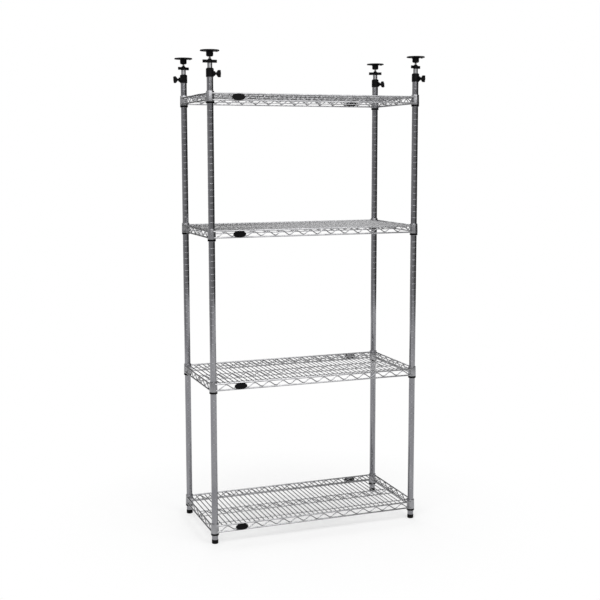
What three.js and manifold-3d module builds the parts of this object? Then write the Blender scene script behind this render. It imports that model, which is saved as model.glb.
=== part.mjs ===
// A floor-to-ceiling wire shelf unit, in millimetres, +Z up, origin on the floor at its centre.
// Four grooved posts carry four welded wire shelves on tapered split sleeves. A pole slides in
// the top of each post under a wing bolt, and a hand nut on it jacks a pad up to the ceiling.
import * as THREE from 'three';
import { mergeVertices } from 'three/addons/utils/BufferGeometryUtils.js';
import Module from 'manifold-3d';

const wasm = await Module();
wasm.setup();

// Whole unit
const postSpanX = 880; // post centre to post centre, along the width
const postSpanY = 400; // post centre to post centre, along the depth
const seatGap = 0.3; // between a piece and what it seats on
const cutOverrun = 2; // how far a cutter passes the faces that it cuts
const roundSides = 8; // facets round a post and everything on its axis
const smallSides = 8; // facets round a wing bolt
const padSides = 14; // facets round a ceiling pad

// Post
const postRadius = 12.7;
const postWall = 1.5;
const postLength = 1872;
const grooveStart = 41.9; // post end to the groove that holds the lowest shelf
const groovePitch = 25.4;
const grooveDepth = 0.8;
const grooveHalfWidth = 2;
const shelfGrooveCounts = [0, 23, 47, 68]; // grooves below the one that each shelf hangs on

// Foot cap
const footRadius = 13.3;
const footHeight = 16; // what shows below the post
const footPlugHeight = 14; // what is pushed up into the post
const footChamfer = 1.2;

// Split sleeve between a post and a shelf's corner collar
const sleeveLength = 45.5;
const sleeveRibHeight = 22; // sleeve's lower end to its inner rib
const sleeveTopWall = 1;
const sleeveFootWall = 2.2; // where the taper would meet the lower end
const sleeveRimRadius = 16.3; // the flared lower end that shows under the collar
const sleeveRimHeight = 6;
const sleeveSlit = 1.8;

// Shelf: corner collars
const collarWall = 1.2;
const collarHeight = 40.2;

// Shelf: outer frame, with its rails at two heights above the sleeve's lower end
const topRailHeight = 37.5;
const bottomRailHeight = 12.2;
const railRadius = 3;
const railInset = 3; // from a collar's outside to a rail's centre line
const railSides = 6;
const weldDepth = 1.2; // how far a welded end runs into what it joins

// Shelf: the wires that goods stand on, and what runs under them
const wirePitch = 20;
const wireMargin = 30; // from a post's centre line to the outermost wire
const wireRadius = 1.9; // to the corners of its three-sided section
const wireSides = 3;
const wireDrop = 0.05; // from a rail's facet edge to the top of the wires
const stringerInset = 48; // from the front or back rail to the stringer behind it
const stringerSide = 3.4; // square section
const midRailSide = 4.2; // square section of the truss along the middle

// Shelf: the waved wire inside each truss
const wavePitch = 60;
const waveRadius = 2; // to the corners of its three-sided section
const waveSides = 3;

// Clamp collar on the post's top end
const clampRadius = 14.6;
const clampTopRadius = 12.2;
const clampShoulder = 6; // height of its sloped shoulder
const clampLid = 8.7; // thickness above the post's end
const clampHeight = 34;
const clampBossRoot = 10.5; // radius of the wing bolt's boss at the collar
const clampBossTip = 4.8;
const clampBossReach = 22.5; // post centre to the boss's end
const clampBossBite = 4; // how deep the boss starts inside the collar

// Inner pole
const poleRadius = 9.5;
const poleWall = 1.2;
const poleLength = 315;
const poleShown = 18; // between the clamp collar and the nut
const poleFootHeight = 8; // the wider guide at its lower end

// Hand nut on top of the inner pole
const nutRadius = 9.5;
const nutTopRadius = 6.6;
const nutHeight = 16.4;
const nutShoulder = 11; // height at which its dome starts
const nutSpigotHeight = 6; // what turns inside the pole
const nutArmLift = 2.5; // underside of the arms above the nut's seat
const nutArmHeight = 8.5;
const nutArmReach = 28; // to the end of an arm
const nutArmTip = 3.2; // half the width at the very end
const nutArmHalfWidth = 4.8;
const nutArmRound = 2.6; // length of the chamfer at an arm's end

// Jack screw
const screwRadius = 4.5;
const screwLength = 94;
const screwShown = 8; // between the nut and the pad's hub
const screwInHub = 14;

// Ceiling pad
const padRadius = 37.5;
const padThickness = 2.7;
const hubRadius = 13;
const hubHeight = 20.5;
const hubChamfer = 3.5;
const bossRadius = 3.6; // four small bosses under the plate
const bossHeight = 2.6;
const bossPlace = 28; // their distance from the centre
const bossCount = 4;
const bossSides = 4;
const rubberRadius = 36.5;
const rubberThickness = 1.5;

// Wing bolt
const wingDrop = 21.4; // from the clamp collar's top to the bolt
const wingScrewRadius = 3;
const wingScrewLength = 29;
const knobStart = 26.5; // post centre to the knob's near end
const knobLength = 17;
const knobReach = 14; // half the span of the wings
const knobRoot = 5; // half the span of the wings at their near end
const knobThickness = 6.4;
const knobHubRadius = 4.8;
const knobHubEndRadius = 5.8;
const knobFlareShare = 0.42; // of the knob's length, where the wings reach their full span
const knobNotchShare = 0.45; // of the wings' span, where the notch in their far edge starts
const knobNotchDepth = 3.6;

// Corners: where each stands, which way its wing bolt points, and how its nut and knob are turned
const degree = Math.PI / 180;
const corners = [
  { name: 'front_left', x: -1, y: -1, bolt: 1, nutTurn: -3 * degree, knobTurn: 0 },
  { name: 'front_right', x: 1, y: -1, bolt: 1, nutTurn: 27 * degree, knobTurn: 24 * degree },
  { name: 'back_right', x: 1, y: 1, bolt: 1, nutTurn: -18 * degree, knobTurn: -32 * degree },
  { name: 'back_left', x: -1, y: 1, bolt: -1, nutTurn: 27 * degree, knobTurn: 16 * degree },
];

// Heights and radii that follow from the sizes above
const postBottom = footHeight + seatGap;
const postTop = postBottom + postLength;
const clampLedge = postTop + seatGap;
const clampTop = clampLedge + clampLid;
const clampBottom = clampTop - clampHeight;
const wingHeight = clampTop - wingDrop;
const poleTop = clampTop + poleShown;
const nutSeat = poleTop + seatGap;
const nutTop = nutSeat + nutHeight;
const hubBottom = nutTop + screwShown;
const padBottom = hubBottom + hubHeight;
const padTop = padBottom + padThickness;
const shelfHeights = shelfGrooveCounts.map(
  (count) => postBottom + grooveStart + count * groovePitch - sleeveRibHeight
);
const sleeveBore = postRadius + seatGap;
const sleeveTopRadius = sleeveBore + sleeveTopWall;
const sleeveTaper = (sleeveFootWall - sleeveTopWall) / sleeveLength;
const sleeveRadiusAt = (height) => sleeveTopRadius + sleeveTaper * (sleeveLength - height);
const collarBottom = sleeveRimHeight + seatGap;
const collarTop = collarBottom + collarHeight;
const collarBoreAt = (height) => sleeveRadiusAt(height) + seatGap;
const railOffset = collarBoreAt(collarTop) + collarWall - railInset;
const wireCount = Math.round((postSpanX - wireMargin * 2) / wirePitch) + 1;
const longWaves = Math.floor(postSpanX / wavePitch); // front and back
const midWaves = Math.floor((postSpanX / 2 + railOffset) * 2 / wavePitch);
const endWaves = Math.floor(postSpanY / wavePitch);

// A tube's flat sides are nearer its axis than its corners, and a turning piece has to clear them
const flatOf = (radius, sides) => radius * Math.cos(Math.PI / sides);
const boreRound = (radius, sides) => (radius + seatGap) / Math.cos(Math.PI / sides);
const flatFirst = (sides) => Math.PI / 2 + Math.PI / sides; // starts a turned shape with a flat to +X

const chrome = { color: 0x9b9ca1, metalness: 0.85, roughness: 0.28 };
const chromeDark = { color: 0x85868b, metalness: 0.85, roughness: 0.32 };
const blackPlastic = { color: 0x141415, metalness: 0, roughness: 0.5 };
const blackRubber = { color: 0x0d0d0e, metalness: 0, roughness: 0.85 };

// A closed three.js geometry as a solid that can be joined and cut
function solidOf(geometry) {
  geometry.deleteAttribute('normal');
  geometry.deleteAttribute('uv');
  const merged = mergeVertices(geometry);
  const index = merged.index.array;
  const triVerts = [];
  for (let i = 0; i < index.length; i += 3) {
    const [a, b, c] = index.slice(i, i + 3);
    if (a !== b && b !== c && c !== a) triVerts.push(a, b, c);
  }
  return new wasm.Manifold(new wasm.Mesh({
    numProp: 3,
    vertProperties: new Float32Array(merged.attributes.position.array),
    triVerts: new Uint32Array(triVerts),
  }));
}

function geometryOf(solid) {
  const mesh = solid.getMesh();
  const geometry = new THREE.BufferGeometry();
  geometry.setAttribute('position', new THREE.Float32BufferAttribute(mesh.vertProperties, 3));
  geometry.setIndex(new THREE.Uint32BufferAttribute(mesh.triVerts, 1));
  geometry.computeVertexNormals();
  return geometry;
}

const joined = (solids) => solids.reduce((whole, solid) => whole.add(solid));

// A profile of [radius, height] points, up its outside and down its inside, turned about Z
function turned(profile, sides = roundSides) {
  const points = profile.map(([radius, height]) => new THREE.Vector2(radius, height));
  return solidOf(new THREE.LatheGeometry(points, sides, flatFirst(sides)).rotateX(Math.PI / 2));
}

// A ring's profile comes back to its first point
const turnedRing = (profile, sides) => turned([...profile, profile[0]], sides);

// A round bar along one axis, centred on a point, whose radius may differ at its far end
function bar(axis, centre, length, radius, sides, turn = 0, farRadius = radius) {
  const start = axis === 'z' ? flatFirst(sides) : turn;
  const geometry = new THREE.CylinderGeometry(farRadius, radius, length, sides, 1, false, start);
  if (axis === 'x') geometry.rotateZ(-Math.PI / 2);
  if (axis === 'z') geometry.rotateX(Math.PI / 2);
  return solidOf(geometry.translate(...centre));
}

// A bar along X that starts at one place and ends at another
function reach(start, end, height, radius, sides, farRadius = radius) {
  return bar('x', [(start + end) / 2, 0, height], end - start, radius, sides, 0, farRadius);
}

// A flat outline of [x, y] points with a thickness
function plate(outline, thickness) {
  const shape = new THREE.Shape(outline.map(([x, y]) => new THREE.Vector2(x, y)));
  return new THREE.ExtrudeGeometry(shape, { depth: thickness, bevelEnabled: false });
}

// The line of a truss's waved wire, along X: it starts and ends on the lower rail
class WaveLine extends THREE.Curve {
  constructor(waves, low, high, rail) {
    super();
    Object.assign(this, { waves, low, high, rail });
  }

  getPointAt(share) {
    const halfWave = Math.round(share * this.waves * 2);
    const atEnd = share === 0 || share === 1;
    const height = halfWave % 2 ? this.high : this.low;
    return new THREE.Vector3((share - 1 / 2) * this.waves * wavePitch, 0, atEnd ? this.rail : height);
  }

  getTangentAt() {
    return new THREE.Vector3(1, 0, 0);
  }
}

// A waved wire that runs between an upper face and a lower face and stops on the lower rail
function wavedWire(waves, upperFace, lowerFace, rail) {
  const rise = flatOf(waveRadius, waveSides * 2); // what its section reaches above its line
  const line = new WaveLine(waves, lowerFace + seatGap + rise, upperFace - seatGap - rise, rail);
  const section = new THREE.Shape();
  for (let i = 0; i < waveSides; i += 1) {
    const angle = Math.PI / 2 + (i * 2 * Math.PI) / waveSides;
    const [x, y] = [waveRadius * Math.cos(angle), waveRadius * Math.sin(angle)];
    if (i === 0) section.moveTo(x, y);
    else section.lineTo(x, y);
  }
  return new THREE.ExtrudeGeometry(section, { steps: waves * 2, extrudePath: line });
}

// One wire shelf, welded into one piece; height zero is its sleeves' lower end
function makeShelf() {
  const [halfX, halfY] = [postSpanX / 2, postSpanY / 2];
  const [railX, railY] = [halfX + railOffset, halfY + railOffset];
  const railFlat = flatOf(railRadius, railSides);
  const pieces = [];
  for (const side of [-1, 1]) {
    for (const height of [topRailHeight, bottomRailHeight]) {
      pieces.push(bar('x', [0, side * railY, height], postSpanX, railRadius, railSides));
    }
    const flatDown = Math.PI / railSides;
    pieces.push(bar('y', [side * railX, 0, topRailHeight], postSpanY, railRadius, railSides, flatDown));
    pieces.push(bar('y', [side * railX, 0, bottomRailHeight], postSpanY, railRadius, railSides));
  }

  // The waved wires of the four outer trusses
  const upperFace = topRailHeight - railRadius;
  const lowerFace = bottomRailHeight + railRadius;
  for (const side of [-1, 1]) {
    const long = wavedWire(longWaves, upperFace, lowerFace, bottomRailHeight);
    pieces.push(solidOf(long.translate(0, side * railY, 0)));
    const end = wavedWire(endWaves, upperFace, lowerFace, bottomRailHeight);
    pieces.push(solidOf(end.rotateZ(Math.PI / 2).translate(side * railX, 0, 0)));
  }

  // The surface wires, flat side up, with their ends welded into the front and back rails
  const wireTop = topRailHeight + railRadius / 2 - wireDrop;
  const wireCentre = wireTop - wireRadius / 2;
  const wireLength = (railY - railFlat + weldDepth) * 2;
  for (let i = 0; i < wireCount; i += 1) {
    const x = (i - (wireCount - 1) / 2) * wirePitch;
    pieces.push(bar('y', [x, 0, wireCentre], wireLength, wireRadius, wireSides, Math.PI));
  }

  // The stringers and the middle truss under the wires, from end rail to end rail
  const under = wireCentre - wireRadius - seatGap;
  const square = (side) => side / Math.SQRT2;
  const along = (y, height, side) => bar('x', [0, y, height], railX * 2, square(side), 4, Math.PI / 4);
  for (const side of [-1, 1]) {
    pieces.push(along(side * (railY - stringerInset), under - stringerSide / 2, stringerSide));
  }
  pieces.push(along(0, under - midRailSide / 2, midRailSide));
  pieces.push(along(0, bottomRailHeight, midRailSide));
  const midLower = bottomRailHeight + midRailSide / 2;
  pieces.push(solidOf(wavedWire(midWaves, under - midRailSide, midLower, bottomRailHeight)));

  // The tapered corner collars, bored after the rails have run into them
  const collar = [];
  const bores = [];
  for (const { x, y } of corners) {
    const place = [x * halfX, y * halfY, 0];
    collar.push(turned([
      [0, collarBottom],
      [collarBoreAt(collarBottom) + collarWall, collarBottom],
      [collarBoreAt(collarTop) + collarWall, collarTop],
      [0, collarTop],
    ]).translate(place));
    bores.push(turned([
      [0, collarBottom - cutOverrun],
      [collarBoreAt(collarBottom - cutOverrun), collarBottom - cutOverrun],
      [collarBoreAt(collarTop + cutOverrun), collarTop + cutOverrun],
      [0, collarTop + cutOverrun],
    ]).translate(place));
  }
  return joined([...collar, ...pieces]).subtract(joined(bores));
}

// The sleeve that locks in a groove and wedges in a collar; height zero is its lower end
function makeSleeve() {
  const ring = turnedRing([
    [sleeveBore, 0],
    [sleeveRimRadius, 0],
    [sleeveRadiusAt(sleeveRimHeight), sleeveRimHeight],
    [sleeveTopRadius, sleeveLength],
    [sleeveBore, sleeveLength],
    [sleeveBore, sleeveRibHeight + grooveHalfWidth],
    [sleeveBore - grooveDepth, sleeveRibHeight],
    [sleeveBore, sleeveRibHeight - grooveHalfWidth],
  ]);
  const height = sleeveLength + cutOverrun * 2;
  const slit = new THREE.BoxGeometry(sleeveRimRadius, sleeveSlit, height);
  slit.translate(-sleeveRimRadius, 0, height / 2 - cutOverrun).rotateZ(Math.PI / roundSides);
  return ring.subtract(solidOf(slit));
}

function makePost() {
  const inside = postRadius - postWall;
  const profile = [[postRadius, postBottom]];
  for (const shelfHeight of shelfHeights) {
    const groove = shelfHeight + sleeveRibHeight;
    profile.push([postRadius, groove - grooveHalfWidth]);
    profile.push([postRadius - grooveDepth, groove]);
    profile.push([postRadius, groove + grooveHalfWidth]);
  }
  profile.push([postRadius, postTop], [inside, postTop], [inside, postBottom]);
  const holeRadius = wingScrewRadius + seatGap;
  return turnedRing(profile).subtract(reach(poleRadius, clampBossReach, wingHeight, holeRadius, smallSides));
}

function makeFootCap() {
  const plug = postRadius - postWall - seatGap;
  return turned([
    [0, 0],
    [footRadius - footChamfer, 0],
    [footRadius, footChamfer],
    [footRadius, footHeight],
    [plug, footHeight],
    [plug, footHeight + footPlugHeight],
    [0, footHeight + footPlugHeight],
  ]);
}

function makeClampCollar() {
  const postBore = postRadius + seatGap;
  const poleBore = poleRadius + seatGap;
  const shell = turned([
    [0, clampBottom],
    [clampRadius, clampBottom],
    [clampRadius, clampTop - clampShoulder],
    [clampTopRadius, clampTop],
    [0, clampTop],
  ]);
  const start = clampRadius - clampBossBite;
  const boss = reach(start, clampBossReach, wingHeight, clampBossRoot, smallSides, clampBossTip);
  const hole = reach(0, clampBossReach + cutOverrun, wingHeight, wingScrewRadius + seatGap, smallSides);
  const lower = clampBottom - cutOverrun;
  const bore = turned([
    [0, lower],
    [postBore, lower],
    [postBore, clampLedge],
    [poleBore, clampLedge],
    [poleBore, clampTop + cutOverrun],
    [0, clampTop + cutOverrun],
  ]);
  return shell.add(boss).subtract(bore).subtract(hole);
}

function makeInnerPole() {
  const inside = poleRadius - poleWall;
  const guide = postRadius - postWall - seatGap;
  const bottom = poleTop - poleLength;
  return turnedRing([
    [inside, bottom],
    [guide, bottom],
    [guide, bottom + poleFootHeight],
    [poleRadius, bottom + poleFootHeight],
    [poleRadius, poleTop],
    [inside, poleTop],
  ]);
}

function makeNut() {
  const bore = boreRound(screwRadius, roundSides);
  const spigot = flatOf(poleRadius - poleWall, roundSides) - seatGap;
  const body = turned([
    [0, nutSeat - nutSpigotHeight],
    [spigot, nutSeat - nutSpigotHeight],
    [spigot, nutSeat],
    [nutRadius, nutSeat],
    [nutRadius, nutSeat + nutShoulder],
    [nutTopRadius, nutTop],
    [0, nutTop],
  ]);
  const outline = [];
  for (const [x, y] of [[-1, 1], [-1, -1], [1, -1], [1, 1]]) {
    const tip = [x * nutArmReach, y * nutArmTip];
    const cheek = [x * (nutArmReach - nutArmRound), y * nutArmHalfWidth];
    outline.push(...(x * y < 0 ? [cheek, tip] : [tip, cheek]));
  }
  const arms = solidOf(plate(outline, nutArmHeight).translate(0, 0, nutSeat + nutArmLift));
  const height = nutHeight + nutSpigotHeight + cutOverrun * 2;
  const middle = nutTop + cutOverrun - height / 2;
  return body.add(arms).subtract(bar('z', [0, 0, middle], height, bore, roundSides));
}

function makeJackScrew() {
  const top = hubBottom + screwInHub;
  return bar('z', [0, 0, top - screwLength / 2], screwLength, screwRadius, roundSides);
}

function makeCeilingPad() {
  const bore = screwRadius + seatGap;
  const boreEnd = hubBottom + screwInHub + seatGap;
  const hub = turned([
    [0, boreEnd],
    [bore, boreEnd],
    [bore, hubBottom],
    [hubRadius - hubChamfer, hubBottom],
    [hubRadius, hubBottom + hubChamfer],
    [hubRadius, padTop],
    [0, padTop],
  ]);
  const disc = bar('z', [0, 0, padTop - padThickness / 2], padThickness, padRadius, padSides);
  const bossLength = bossHeight + padThickness / 2;
  const bosses = [];
  for (let i = 0; i < bossCount; i += 1) {
    const angle = (i * 2 * Math.PI) / bossCount;
    const place = [bossPlace * Math.cos(angle), bossPlace * Math.sin(angle)];
    const centre = [...place, padBottom - bossHeight + bossLength / 2];
    bosses.push(bar('z', centre, bossLength, bossRadius, bossSides));
  }
  return joined([disc, hub, ...bosses]);
}

function makePadRubber() {
  const centre = [0, 0, padTop + seatGap + rubberThickness / 2];
  return bar('z', centre, rubberThickness, rubberRadius, padSides);
}

// The wing bolt's pieces lie along X, with height zero on the bolt's own line
const wingTip = flatOf(poleRadius, roundSides) + seatGap;

function makeWingScrew() {
  return reach(wingTip, wingTip + wingScrewLength, 0, wingScrewRadius, smallSides);
}

function makeWingKnob() {
  const end = knobStart + knobLength;
  const flare = knobStart + knobLength * knobFlareShare;
  const outline = [
    [knobStart, knobRoot],
    [knobStart, -knobRoot],
    [flare, -knobReach],
    [end, -knobReach],
    [end, -knobReach * knobNotchShare],
    [end - knobNotchDepth, 0],
    [end, knobReach * knobNotchShare],
    [end, knobReach],
    [flare, knobReach],
  ];
  const wings = plate(outline, knobThickness).translate(0, 0, -knobThickness / 2).rotateX(Math.PI / 2);
  const hub = reach(knobStart, end - knobNotchDepth, 0, knobHubRadius, smallSides, knobHubEndRadius);
  const boreRadius = boreRound(wingScrewRadius, smallSides);
  const boreEnd = wingTip + wingScrewLength + seatGap;
  const bore = reach(knobStart - cutOverrun, boreEnd, 0, boreRadius, smallSides);
  return solidOf(wings).add(hub).subtract(bore);
}

const unit = new THREE.Group();

function place(parent, name, geometry, finish) {
  const mesh = new THREE.Mesh(geometry, new THREE.MeshStandardMaterial(finish));
  mesh.name = name;
  parent.add(mesh);
  return mesh;
}

const shapes = {
  post: geometryOf(makePost()),
  footCap: geometryOf(makeFootCap()),
  sleeve: geometryOf(makeSleeve()),
  shelf: geometryOf(makeShelf()),
  clampCollar: geometryOf(makeClampCollar()),
  innerPole: geometryOf(makeInnerPole()),
  nut: geometryOf(makeNut()),
  jackScrew: geometryOf(makeJackScrew()),
  ceilingPad: geometryOf(makeCeilingPad()),
  padRubber: geometryOf(makePadRubber()),
  wingScrew: geometryOf(makeWingScrew()),
  wingKnob: geometryOf(makeWingKnob()),
};

shelfHeights.forEach((height, level) => {
  place(unit, `shelf_${level + 1}`, shapes.shelf, chrome).position.z = height;
});

for (const corner of corners) {
  const post = new THREE.Group();
  post.position.set((corner.x * postSpanX) / 2, (corner.y * postSpanY) / 2, 0);
  post.rotation.z = corner.bolt < 0 ? Math.PI : 0;
  unit.add(post);

  place(post, `post_${corner.name}`, shapes.post, chromeDark);
  place(post, `foot_cap_${corner.name}`, shapes.footCap, blackRubber);
  shelfHeights.forEach((height, level) => {
    place(post, `sleeve_${level + 1}_${corner.name}`, shapes.sleeve, blackPlastic).position.z = height;
  });
  place(post, `clamp_collar_${corner.name}`, shapes.clampCollar, blackPlastic);
  place(post, `inner_pole_${corner.name}`, shapes.innerPole, chrome);
  place(post, `jack_nut_${corner.name}`, shapes.nut, blackPlastic).rotation.z = corner.nutTurn;
  place(post, `jack_screw_${corner.name}`, shapes.jackScrew, chromeDark);
  place(post, `ceiling_pad_${corner.name}`, shapes.ceilingPad, blackPlastic);
  place(post, `pad_rubber_${corner.name}`, shapes.padRubber, blackRubber);

  const bolt = new THREE.Group();
  bolt.position.z = wingHeight;
  post.add(bolt);
  place(bolt, `wing_screw_${corner.name}`, shapes.wingScrew, chromeDark);
  place(bolt, `wing_knob_${corner.name}`, shapes.wingKnob, blackPlastic).rotation.x = corner.knobTurn;
}

export default unit;
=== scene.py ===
import bpy
import bmesh
import math
from mathutils import Matrix, Vector


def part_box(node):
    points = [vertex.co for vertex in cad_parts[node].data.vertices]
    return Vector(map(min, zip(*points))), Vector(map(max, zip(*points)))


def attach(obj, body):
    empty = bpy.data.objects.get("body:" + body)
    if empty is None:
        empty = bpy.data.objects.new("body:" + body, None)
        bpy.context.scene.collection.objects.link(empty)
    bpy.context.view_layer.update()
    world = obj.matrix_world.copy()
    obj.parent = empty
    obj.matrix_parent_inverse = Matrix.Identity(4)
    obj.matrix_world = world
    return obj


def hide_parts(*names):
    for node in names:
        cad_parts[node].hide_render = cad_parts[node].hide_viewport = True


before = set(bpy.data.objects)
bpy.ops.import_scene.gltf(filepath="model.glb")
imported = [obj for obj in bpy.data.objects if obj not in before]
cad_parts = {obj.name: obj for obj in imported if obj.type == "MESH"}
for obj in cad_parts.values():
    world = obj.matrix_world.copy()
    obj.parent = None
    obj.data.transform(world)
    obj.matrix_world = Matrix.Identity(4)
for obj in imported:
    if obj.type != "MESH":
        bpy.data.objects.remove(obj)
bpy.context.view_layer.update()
scene = bpy.context.scene
scene.view_settings.view_transform = "Standard"

# Pieces are modelled in millimetres round the floor's centre or a post's axis, and settle() puts them in place
mm = 0.001
turn = math.tau
tiny = 1e-6
cornerNames = ("front_left", "front_right", "back_right", "back_left")
cornerSet = {  # which way each wing bolt points, and how its nut and knob are turned, in degrees
    "front_left": dict(post=0, nut=-3, knob=0),
    "front_right": dict(post=0, nut=27, knob=6),
    "back_right": dict(post=0, nut=-18, knob=-22),
    "back_left": dict(post=180, nut=27, knob=16),
}


def spun(angle, axis):
    return Matrix.Rotation(angle, 4, axis)


def boxOf(node):
    low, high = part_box(node)
    return low / mm, high / mm


def middleOf(node):
    low, high = boxOf(node)
    return (low + high) / 2


def cornerPlace(corner, height=0.0):
    axis = middleOf("foot_cap_" + corner)
    return Matrix.Translation((axis.x, axis.y, height)) @ spun(math.radians(cornerSet[corner]["post"]), "Z")


def heightsOf(kind):
    low, high = boxOf(kind + "_front_left")
    return low.z, high.z


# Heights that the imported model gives
postLow, postHigh = heightsOf("post")
shelfHeights = [heightsOf(f"sleeve_{level}")[0] for level in (1, 2, 3, 4)]
clampLow, clampHigh = heightsOf("clamp_collar")
poleLow, poleHigh = heightsOf("inner_pole")
nutLow, nutHigh = heightsOf("jack_nut")
screwLow, screwHigh = heightsOf("jack_screw")
padLow, padHigh = heightsOf("ceiling_pad")
rubberLow, rubberHigh = heightsOf("pad_rubber")
boltHeight = middleOf("wing_screw_front_left").z
boltEnd = boxOf("wing_screw_front_left")[1].x - middleOf("foot_cap_front_left").x  # from its post's axis
halfSpanX, halfSpanY = middleOf("foot_cap_front_right").x, middleOf("foot_cap_back_right").y
print("frame read:", len(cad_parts), "nodes")


# Node helpers

def addNode(tree, kind, settings=None, **inputs):
    made = tree.nodes.new(kind)
    for key, value in (settings or {}).items():
        setattr(made, key, value)
    for key, value in inputs.items():
        numbered = key.startswith("in") and key[2:].isdigit()
        socket = made.inputs[int(key[2:])] if numbered else made.inputs[key.replace("_", " ")]
        if isinstance(value, bpy.types.NodeSocket):
            tree.links.new(value, socket)
        else:
            socket.default_value = value
    return made


def calc(tree, operation, *values):
    numbered = {f"in{i}": value for i, value in enumerate(values)}
    return addNode(tree, "ShaderNodeMath", {"operation": operation}, **numbered).outputs[0]


def product(tree, first, *others):
    for value in others:
        first = calc(tree, "MULTIPLY", first, value)
    return first


def newTree(name, kind, inputs, outputs):
    tree = bpy.data.node_groups.new(name, kind)
    for label, socketType, default in inputs:
        socket = tree.interface.new_socket(label, in_out="INPUT", socket_type=socketType)
        if default is not None:
            socket.default_value = default
    for label, socketType in outputs:
        tree.interface.new_socket(label, in_out="OUTPUT", socket_type=socketType)
    return tree, tree.nodes.new("NodeGroupInput").outputs, tree.nodes.new("NodeGroupOutput").inputs


number, whole, colour = "NodeSocketFloat", "NodeSocketInt", "NodeSocketColor"


# Materials: shared effects are groups, and each finish places them with its own values

effects = dict(drawnStretch=0.22, cloudLow=0.32, cloudHigh=0.68, coarseSize=0.12, edgeLow=0.51, edgeHigh=0.6,
               wearSize=220.0, dustLow=0.55, dustSize=90.0, dustRoughness=0.5, bumpStrength=0.5)


def noise(tree, size, detail):
    place = addNode(tree, "ShaderNodeTexCoord").outputs["Object"]
    return addNode(tree, "ShaderNodeTexNoise", Vector=place, Scale=size, Detail=detail).outputs[0]


def putOut(tree, given, out, mask, under, over):  # a colour between two of the group's inputs, and the mask
    mixed = addNode(tree, "ShaderNodeMix", {"data_type": "RGBA"}, in0=mask, in6=given[under], in7=given[over])
    tree.links.new(mixed.outputs[2], out["Color"])
    if "Mask" in out:
        tree.links.new(mask, out["Mask"])
    return tree


def makePlatingTone():
    inputs = [("Light", colour, (0.6, 0.6, 0.6, 1)), ("Dark", colour, (0.3, 0.3, 0.3, 1)),
              ("Size", number, 40.0), ("Smooth", number, 0.15), ("Dull", number, 0.3)]
    tree, given, out = newTree("platingTone", "ShaderNodeTree", inputs,
                               [("Color", colour), ("Roughness", number)])
    place = addNode(tree, "ShaderNodeTexCoord").outputs["Object"]
    drawn = addNode(tree, "ShaderNodeMapping", Vector=place, Scale=(1, 1, effects["drawnStretch"])).outputs[0]
    cloud = addNode(tree, "ShaderNodeTexNoise", Vector=drawn, Scale=given["Size"], Detail=4.0)
    share = addNode(tree, "ShaderNodeMapRange", Value=cloud.outputs[0], in1=effects["cloudLow"],
                    in2=effects["cloudHigh"]).outputs[0]
    dull = addNode(tree, "ShaderNodeMapRange", Value=share, in3=given["Dull"], in4=given["Smooth"])
    tree.links.new(dull.outputs[0], out["Roughness"])
    return putOut(tree, given, out, share, "Dark", "Light")


def makeFineGrain():
    inputs = [("Size", number, 900.0), ("Coarse Share", number, 0.3)]
    tree, given, out = newTree("fineGrain", "ShaderNodeTree", inputs, [("Height", number)])
    coarse = noise(tree, product(tree, given["Size"], effects["coarseSize"]), 2.0)
    mixed = addNode(tree, "ShaderNodeMix", in0=given["Coarse Share"], in2=noise(tree, given["Size"], 2.0),
                    in3=coarse)
    tree.links.new(mixed.outputs[0], out["Height"])
    return tree


def makeEdgeWear():
    inputs = [("Color", colour, (0, 0, 0, 1)), ("Worn", colour, (0.2, 0.2, 0.2, 1)), ("Amount", number, 0.5)]
    tree, given, out = newTree("edgeWear", "ShaderNodeTree", inputs, [("Color", colour), ("Mask", number)])
    sharp = addNode(tree, "ShaderNodeNewGeometry").outputs["Pointiness"]
    edge = addNode(tree, "ShaderNodeMapRange", Value=sharp, in1=effects["edgeLow"],
                   in2=effects["edgeHigh"]).outputs[0]
    mask = product(tree, edge, noise(tree, effects["wearSize"], 3.0), given["Amount"])
    return putOut(tree, given, out, mask, "Color", "Worn")


def makeDust():
    inputs = [("Color", colour, (0, 0, 0, 1)), ("Dust", colour, (0.4, 0.39, 0.37, 1)), ("Amount", number, 0.2)]
    tree, given, out = newTree("dust", "ShaderNodeTree", inputs, [("Color", colour), ("Mask", number)])
    normal = addNode(tree, "ShaderNodeNewGeometry").outputs["Normal"]
    upward = addNode(tree, "ShaderNodeSeparateXYZ", Vector=normal).outputs[2]
    lying = addNode(tree, "ShaderNodeMapRange", Value=upward, in1=effects["dustLow"], in2=1.0).outputs[0]
    mask = product(tree, lying, noise(tree, effects["dustSize"], 5.0), given["Amount"])
    return putOut(tree, given, out, mask, "Color", "Dust")


platingTone, fineGrain, edgeWear, dust = makePlatingTone(), makeFineGrain(), makeEdgeWear(), makeDust()


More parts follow.
